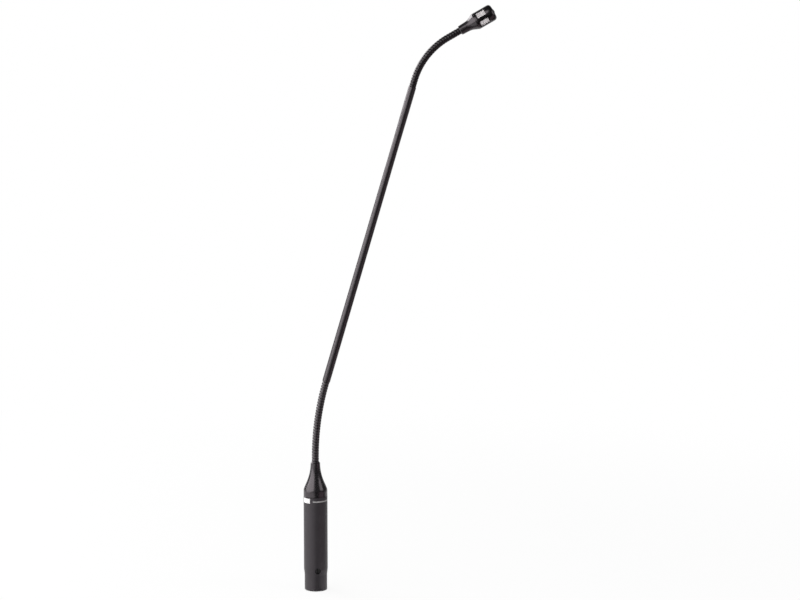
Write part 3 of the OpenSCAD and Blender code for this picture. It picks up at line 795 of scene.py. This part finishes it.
def makePrints():
    low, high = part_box("base_housing")
    radius = (high[0] - low[0]) / 2
    for name in ("patch", "rule"):
        sizes = printSizes[name]
        first, last = sizes["turn"]
        columns = round((last - first) / printSizes["columnTurn"])
        turns = [math.radians(first + (last - first) * i / columns) for i in range(columns + 1)]
        bm = bmesh.new()
        lower, upper = [[bm.verts.new((radius * math.sin(a), -radius * math.cos(a), z * mm)) for a in turns]
                        for z in sizes["height"]]
        for i in range(columns):
            bm.faces.new((lower[i], lower[i + 1], upper[i + 1], upper[i]))
        piece = addPiece("print_" + name, meshOf(name, bm), sizes["finish"])
        solid = piece.modifiers.new("thickness", "SOLIDIFY")
        solid.thickness, solid.offset = printSizes["thickness"] * mm, 1.0
        settle(piece)
        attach(piece, "base")
    print("prints: blank patch and rule")


makePrints()


# the head's pieces are made along its axis, in mm, and then set on the neck

def setOnHead(piece, node):
    piece.data.transform(headFrame)
    rideFor(piece, "head", node)


# capsule shell: a tube with windows round it and a rolled-in mouth

shellSizes = {
    "wall": 0.6, "frontRadius": 3.0, "mouthRadius": 4.35, "lip": 1.5,
    "windows": 5, "windowWidth": 5.8, "windowLength": 8.2, "windowStart": 2.1, "windowTurn": -54.0,
    "windowSteps": 8, "pillarSteps": 8, "arcSteps": 9, "edge": 0.14, "edgeSteps": 2, "edgeTurn": 40.0,
}


def shellAngles(radius):
    # window sides are parallel, so their angle depends on the radius
    sizes = shellSizes
    pitch = math.tau / sizes["windows"]
    half = math.asin(sizes["windowWidth"] / 2 / radius)
    for k in range(sizes["windows"]):
        middle = math.radians(sizes["windowTurn"]) + k * pitch
        for i in range(sizes["windowSteps"]):
            yield middle + math.asin(sizes["windowWidth"] * (i / sizes["windowSteps"] - 0.5) / radius)
        for i in range(sizes["pillarSteps"]):
            yield middle + half + (pitch - 2 * half) * i / sizes["pillarSteps"]


def shellOutline(rear, front, radius, bore):
    # up the outside, over the rolled front, and back down the bore
    sizes = shellSizes
    sill = rear + sizes["windowStart"]
    head = sill + sizes["windowLength"]
    bend, mouth = sizes["frontRadius"], sizes["mouthRadius"]
    lip = front - sizes["lip"]
    turns = [math.pi / 2 * i / sizes["arcSteps"] for i in range(sizes["arcSteps"] + 1)]
    roll = [(radius - bend * (1 - math.cos(a)), front - bend * (1 - math.sin(a))) for a in turns]
    return [(radius, rear), (radius, sill), (radius, head), *roll, (mouth, front), (mouth, lip),
            (bore, lip), (bore, head), (bore, sill), (bore, rear)]


def makeShell():
    sizes = shellSizes
    rear, front, _, radius = spanOn(headFrame, "capsule_shell")
    bore = radius - sizes["wall"]
    bm = bmesh.new()
    rows = []
    for r, z in shellOutline(rear, front, radius, bore):
        rows.append([bm.verts.new((r * math.cos(a), r * math.sin(a), z)) for a in shellAngles(max(r, bore))])
    columns = len(rows[0])
    span = sizes["windowSteps"] + sizes["pillarSteps"]
    glazed = [c for c in range(columns) if c % span < sizes["windowSteps"]]
    outer, inner = 1, len(rows) - 3  # the rows where the windows start, outside and inside
    for i in range(len(rows)):
        for c in range(columns):
            if i in (outer, inner) and c in glazed:
                continue
            first, second, n = rows[i], rows[(i + 1) % len(rows)], (c + 1) % columns
            bm.faces.new((first[c], first[n], second[n], second[c]))
    for c in glazed:  # sills and heads of the windows
        n = (c + 1) % columns
        bm.faces.new((rows[outer][c], rows[outer][n], rows[inner + 1][n], rows[inner + 1][c]))
        bm.faces.new((rows[outer + 1][c], rows[outer + 1][n], rows[inner][n], rows[inner][c]))
    for k in range(sizes["windows"]):  # their sides
        for c in (k * span, k * span + sizes["windowSteps"]):
            bm.faces.new((rows[outer][c], rows[outer + 1][c], rows[inner][c], rows[inner + 1][c]))
    bmesh.ops.recalc_face_normals(bm, faces=bm.faces)
    piece = addPiece("capsule_shell_windowed", meshOf("capsuleShell", bm), "shell")
    edge = piece.modifiers.new("edge", "BEVEL")
    edge.width, edge.segments = sizes["edge"], sizes["edgeSteps"]
    edge.limit_method, edge.angle_limit = "ANGLE", math.radians(sizes["edgeTurn"])
    settle(piece)
    setOnHead(piece, "capsule_shell")
    print("shell:", sizes["windows"], "windows")


makeShell()


# sleeve behind the windows: plain-woven wire cloth on a pale liner

clothSizes = {
    "wire": 0.075, "strands": 120, "hoops": 30, "sides": 5, "linerWall": 0.05, "linerSides": 96,
    "endWires": 2.0, "clothWires": 2.2, "linerWires": 4.3,  # distances inside the sleeve, in wire radii
}


def clothTree():
    g, given = newTree("wireCloth", {
        "Rear": "Float", "Front": "Float", "Radius": "Float", "Wire": "Float", "Strands": "Int",
        "Hoops": "Int", "Sides": "Int", "Material": "Material"})
    radius, wire, rear = given["Radius"], given["Wire"], given["Rear"]
    step = (given["Front"] - rear) / (given["Hoops"] - 1)
    turn = math.tau / given["Strands"]
    index = g.node("GeometryNodeInputIndex")
    weave = wire * (1 - 2 * (index % 2))  # over one wire, under the next
    section = circle(g, given["Sides"], wire)

    def drawn(curve):
        return g.node("GeometryNodeCurveToMesh", None,
                      {"Curve": curve, "Profile Curve": section, "Fill Caps": True})

    def repeated(shape, count, place, angle):
        points = g.node("GeometryNodePoints", None, {"Count": count, "Position": place})
        spin = g.node("FunctionNodeEulerToRotation", None, {0: g.vector(0.0, 0.0, angle)})
        return g.node("GeometryNodeInstanceOnPoints", None,
                      {"Points": points, "Instance": shape, "Rotation": spin})

    row = g.node("GeometryNodeMeshLine", {"mode": "OFFSET"}, {
        "Count": given["Hoops"], "Start Location": g.vector(0.0, 0.0, rear),
        "Offset": g.vector(0.0, 0.0, step)})
    made = []
    for k, side in ((0, 1.0), (1, -1.0)):
        shift = g.vector(radius + side * weave, 0.0, 0.0)
        bent = g.node("GeometryNodeSetPosition", None, {"Geometry": row, "Offset": shift})
        strand = drawn(g.node("GeometryNodeMeshToCurve", None, {"Mesh": bent}))
        made.append(repeated(strand, given["Strands"] / 2, (0, 0, 0), turn * (2 * index + k)))
    spread = g.times(g.node("GeometryNodeInputPosition"), radius - weave)
    ring = circle(g, given["Strands"], 1.0)
    hoop = drawn(g.node("GeometryNodeSetPosition", None, {"Geometry": ring, "Position": spread}))
    made.append(repeated(hoop, given["Hoops"], g.vector(0.0, 0.0, rear + index * step), turn * index))
    return endTree(g, g.node("GeometryNodeJoinGeometry", None, {0: made}), given["Material"])


def makeCloth():
    sizes = clothSizes
    wire = sizes["wire"]
    rear, front, _, radius = spanOn(headFrame, "window_sleeve")
    cloth = grow("window_wire_cloth", bpy.data.meshes.new("clothSeed"), clothTree(), {
        "Rear": rear + sizes["endWires"] * wire, "Front": front - sizes["endWires"] * wire,
        "Radius": radius - sizes["clothWires"] * wire, "Wire": wire, "Strands": sizes["strands"],
        "Hoops": sizes["hoops"], "Sides": sizes["sides"], "Material": finishes["wireCloth"]})
    setOnHead(cloth, "window_sleeve")
    outside = radius - sizes["linerWires"] * wire
    inside = outside - sizes["linerWall"]
    outline = [(outside, rear), (outside, front), (inside, front), (inside, rear)]
    liner = addPiece("window_liner", turned("liner", outline, sizes["linerSides"]), "liner")
    settle(liner)
    setOnHead(liner, "window_sleeve")
    print("wire cloth:", sizes["strands"], "strands,", sizes["hoops"], "hoops")


makeCloth()


# front grille: a pressed dome of perforated sheet

grilleSizes = {
    "pitch": 0.8, "hole": 0.27, "sheet": 0.3, "riseGap": 0.1, "flange": 0.5, "weld": 0.01,
    "rimShare": 0.6,  # how far inside the rim the last holes stand, in pitches
}


def holeCell():
    # one hexagon of sheet with a round hole
    sizes = grilleSizes
    sides = 12  # the hexagon's corners, and the middles between them
    bm = bmesh.new()
    outer, inner = [], []
    for i in range(sides):
        a = math.tau * i / sides
        reach = sizes["pitch"] / 2 if i % 2 == 0 else sizes["pitch"] / math.sqrt(3)
        outer.append(bm.verts.new((reach * math.cos(a), reach * math.sin(a), 0)))
        inner.append(bm.verts.new((sizes["hole"] * math.cos(a), sizes["hole"] * math.sin(a), 0)))
    for i in range(sides):
        n = (i + 1) % sides
        bm.faces.new((outer[i], outer[n], inner[n], inner[i]))
    return meshOf("holeCell", bm)


def grilleTree():
    g, given = newTree("perforatedDome", {
        "Pitch": "Float", "Rim": "Float", "Rim Gap": "Float", "Rise Radius": "Float", "Dome": "Float",
        "Base": "Float", "Weld": "Float", "Material": "Material"})
    pitch, rim, rise, dome = (given[k] for k in ("Pitch", "Rim", "Rise Radius", "Dome"))
    across = 2 * g.call("CEIL", rim / pitch) + 3  # the middle one, and one spare on each side
    index = g.node("GeometryNodeInputIndex")
    column, row = index % across, g.call("FLOOR", index / across)
    middle = (across - 1) / 2
    x = pitch * (column - middle + 0.5 * (g.call("ABSOLUTE", row - middle) % 2))
    y = pitch * math.sin(math.radians(60)) * (row - middle)
    points = g.node("GeometryNodePoints", None, {"Count": across * across, "Position": g.vector(x, y, 0.0)})
    px, py, _ = g.parts(g.node("GeometryNodeInputPosition"))
    reach = g.call("SQRT", px * px + py * py)
    kept = g.node("GeometryNodeDeleteGeometry", {"domain": "POINT"},
                  {"Geometry": points, "Selection": reach > rim - given["Rim Gap"]})
    placed = g.node("GeometryNodeInstanceOnPoints", None, {"Points": kept, "Instance": given["Geometry"]})
    sheet = g.node("GeometryNodeRealizeInstances", None, {"Geometry": placed})
    joined = g.node("GeometryNodeMergeByDistance", None, {"Geometry": sheet, "Distance": given["Weld"]})
    ball = (rise * rise + dome * dome) / (2 * dome)
    height = g.call("SQRT", ball * ball - g.join("MINIMUM", reach, rise) ** 2) - ball + dome
    pressed = g.node("GeometryNodeSetPosition", None, {
        "Geometry": joined, "Position": g.vector(px, py, given["Base"] + height)})
    return endTree(g, pressed, given["Material"])


def makeGrille():
    sizes = grilleSizes
    rear, front, _, rim = spanOn(headFrame, "front_grille")
    piece = grow("front_grille_perforated", holeCell(), grilleTree(), {
        "Pitch": sizes["pitch"], "Rim": rim, "Rim Gap": sizes["rimShare"] * sizes["pitch"],
        "Rise Radius": shellSizes["mouthRadius"] - sizes["riseGap"], "Dome": front - rear - sizes["flange"],
        "Base": rear + sizes["flange"], "Weld": sizes["weld"], "Material": finishes["grille"]})
    sheet = piece.modifiers.new("sheet", "SOLIDIFY")
    sheet.thickness, sheet.offset = sizes["sheet"], -1.0
    settle(piece)
    setOnHead(piece, "front_grille")
    print("grille:", sizes["pitch"], "mm pitch")


makeGrille()


# stage, in metres: turn is round from the camera's side, to the right

stageSizes = {
    "floor": 12.0, "drop": 0.0003, "floorShade": 0.9, "ambient": 0.34, "studioDark": 0.05,
    "backdrop": (0.62, 0.98),  # where the dark studio turns into the white background
    "shadowShare": 0.10, "shadowFade": (0.3, 0.9),  # the shadow's strength, and where it ends
    "farShine": 0.5, "shineFade": (0.6, 0.95),  # how much of the far floor reflections see
}
flagSizes = {
    "lift": 0.001, "steps": 24, "tint": (1.1, 0.84, 0.93),  # a warm grey
    "cloths": (  # cloths on the floor that only reflections see
        {"turn": (-8.0, 36.0), "reach": (0.0, 11.0), "shade": 0.01},
        {"turn": (36.0, 86.0), "reach": (0.07, 11.0), "shade": 0.4},
        {"turn": (86.0, 100.0), "reach": (0.07, 11.0), "shade": 0.01},
        {"turn": (100.0, 124.0), "reach": (0.42, 0.85), "shade": 0.01},
    ),
}
lampTarget = (0.06, 0, 0.28)
lightSizes = {
    "key": {"turn": -60.0, "reach": 1.15, "height": 0.62, "size": (2.2, 1.2), "power": 18.5, "roll": 25.0},
    "fill": {"turn": 70.0, "reach": 1.3, "height": 0.9, "size": (0.8, 0.8), "power": 3.2, "roll": 0.0},
    "rim": {"turn": -125.0, "reach": 1.9, "height": 1.2, "size": (1.6, 0.8), "power": 32.0, "roll": 0.0},
}
viewSizes = {  # focal and width are in pixels of the photograph, far is in metres
    "aim": (76.47, 0.0, 265.8), "distance": 2400.0, "pitch": 9.0, "focal": 2682.0, "width": 800.0,
    "sensor": 36.0, "far": 50.0,
}


def rays(g):
    path = g.node("ShaderNodeLightPath", None, None, None)
    return [Value(g, path.outputs[n]) for n in ("Is Camera Ray", "Is Glossy Ray", "Is Transmission Ray")]


def roundFrom(turn, reach, height):
    angle = math.radians(turn)
    return Vector((reach * math.sin(angle), -reach * math.cos(angle), height))


def makeFloor():
    sizes = stageSizes
    half, z = sizes["floor"], -sizes["drop"]
    corners = [(-half, -half, z), (half, -half, z), (half, half, z), (-half, half, z)]
    mesh = bpy.data.meshes.new("floor")
    mesh.from_pydata(corners, [], [(0, 1, 2, 3)])
    f = Finish("paleFloor")
    x, y, _ = f.parts(f.place)
    reach = f.call("SQRT", x * x + y * y)
    lit = sizes["shadowShare"] * (1.0 - f.ramp(reach, *sizes["shadowFade"]))
    foot = max(math.hypot(v.co.x, v.co.y) for v in nodes["base_housing"].data.vertices if v.co.z < mm)
    lit = f.join("MAXIMUM", lit, reach < foot)  # no glow inside the plug's mouth
    eye, glossy, through = rays(f)
    shine = 1.0 - (1.0 - sizes["farShine"]) * glossy * f.ramp(reach, *sizes["shineFade"])
    matt = f.node("ShaderNodeBsdfDiffuse", None, {"Color": (*[sizes["floorShade"]] * 3, 1)})
    glow = f.node("ShaderNodeEmission", None, {"Color": (1, 1, 1, 1), "Strength": shine})
    glowing = f.clamp(eye + glossy + through) * (1.0 - lit)
    mixed = f.node("ShaderNodeMixShader", None, {0: glowing, 1: matt, 2: glow})
    under = f.node("ShaderNodeNewGeometry", None, None, "Backfacing")  # clear when looked at from below
    clear = f.node("ShaderNodeBsdfTransparent")
    shown = f.node("ShaderNodeMixShader", None, {0: under, 1: mixed, 2: clear})
    f.node("ShaderNodeOutputMaterial", None, {"Surface": shown}, None)
    floor = addPiece("floor", mesh)
    mesh.materials.append(f.material)


def makeFlags():
    sizes = flagSizes
    steps = sizes["steps"]
    for number, flag in enumerate(sizes["cloths"], 1):
        f = Finish(f"floorCloth{number}")
        colour = (*[flag["shade"] * part for part in sizes["tint"]], 1)
        cloth = f.node("ShaderNodeBsdfDiffuse", None, {"Color": colour})
        f.node("ShaderNodeOutputMaterial", None, {"Surface": cloth}, None)
        first, last = flag["turn"]
        spots = [roundFrom(first + (last - first) * i / steps, reach, sizes["lift"])
                 for i in range(steps + 1) for reach in flag["reach"]]
        mesh = bpy.data.meshes.new("flag")
        mesh.from_pydata(spots, [], [(2 * i, 2 * i + 1, 2 * i + 3, 2 * i + 2) for i in range(steps)])
        mesh.materials.append(f.material)
        piece = addPiece(f"flag_{number}", mesh)
        piece.visible_camera = piece.visible_diffuse = False
        piece.visible_shadow = piece.visible_transmission = False


def makeWorld():
    # white behind the object, a dark studio on the camera's side of it
    world = bpy.data.worlds.new("studio")
    bpy.context.scene.world = world
    world.use_nodes = True
    g = Graph(world.node_tree)
    g.tree.nodes.clear()
    eye, glossy, through = rays(g)
    away = g.parts(g.node("ShaderNodeTexCoord", None, None, "Generated"))[1]
    behind = g.ramp(away, *stageSizes["backdrop"])
    dark, ambient = stageSizes["studioDark"], stageSizes["ambient"]
    seen = g.clamp(eye + through)
    strength = seen + glossy * (dark + (1.0 - dark) * behind) + (1.0 - g.clamp(seen + glossy)) * ambient
    sky = g.node("ShaderNodeBackground", None, {"Color": (1, 1, 1, 1), "Strength": strength})
    g.node("ShaderNodeOutputWorld", None, {"Surface": sky}, None)


def aimAt(thing, place, target, roll=0.0):
    facing = (Vector(target) - Vector(place)).to_track_quat("-Z", "Y").to_matrix()
    thing.location = place
    thing.rotation_euler = (facing @ Matrix.Rotation(math.radians(roll), 3, "Z")).to_euler()


def makeLights():
    for name, sizes in lightSizes.items():
        lamp = bpy.data.lights.new(name, "AREA")
        lamp.shape, lamp.energy = "RECTANGLE", sizes["power"]
        lamp.size, lamp.size_y = sizes["size"]
        light = bpy.data.objects.new(name, lamp)
        bpy.context.scene.collection.objects.link(light)
        light.visible_camera = False
        place = roundFrom(sizes["turn"], sizes["reach"], sizes["height"])
        aimAt(light, place, lampTarget, sizes["roll"])


def makeCamera():
    sizes = viewSizes
    aim = Vector(sizes["aim"]) * mm
    pitch = math.radians(sizes["pitch"])
    camera = bpy.data.objects.new("camera", bpy.data.cameras.new("camera"))
    bpy.context.scene.collection.objects.link(camera)
    aimAt(camera, aim + sizes["distance"] * mm * Vector((0, -math.cos(pitch), math.sin(pitch))), aim)
    camera.data.sensor_fit, camera.data.sensor_width = "HORIZONTAL", sizes["sensor"]
    camera.data.lens = sizes["focal"] / sizes["width"] * sizes["sensor"]
    camera.data.clip_end = sizes["far"]
    bpy.context.scene.camera = camera


makeFloor()
makeFlags()
makeWorld()
makeLights()
makeCamera()
bpy.context.scene.view_settings.view_transform = "Standard"
print("stage, light and camera in place")

bpy.context.view_layer.update()
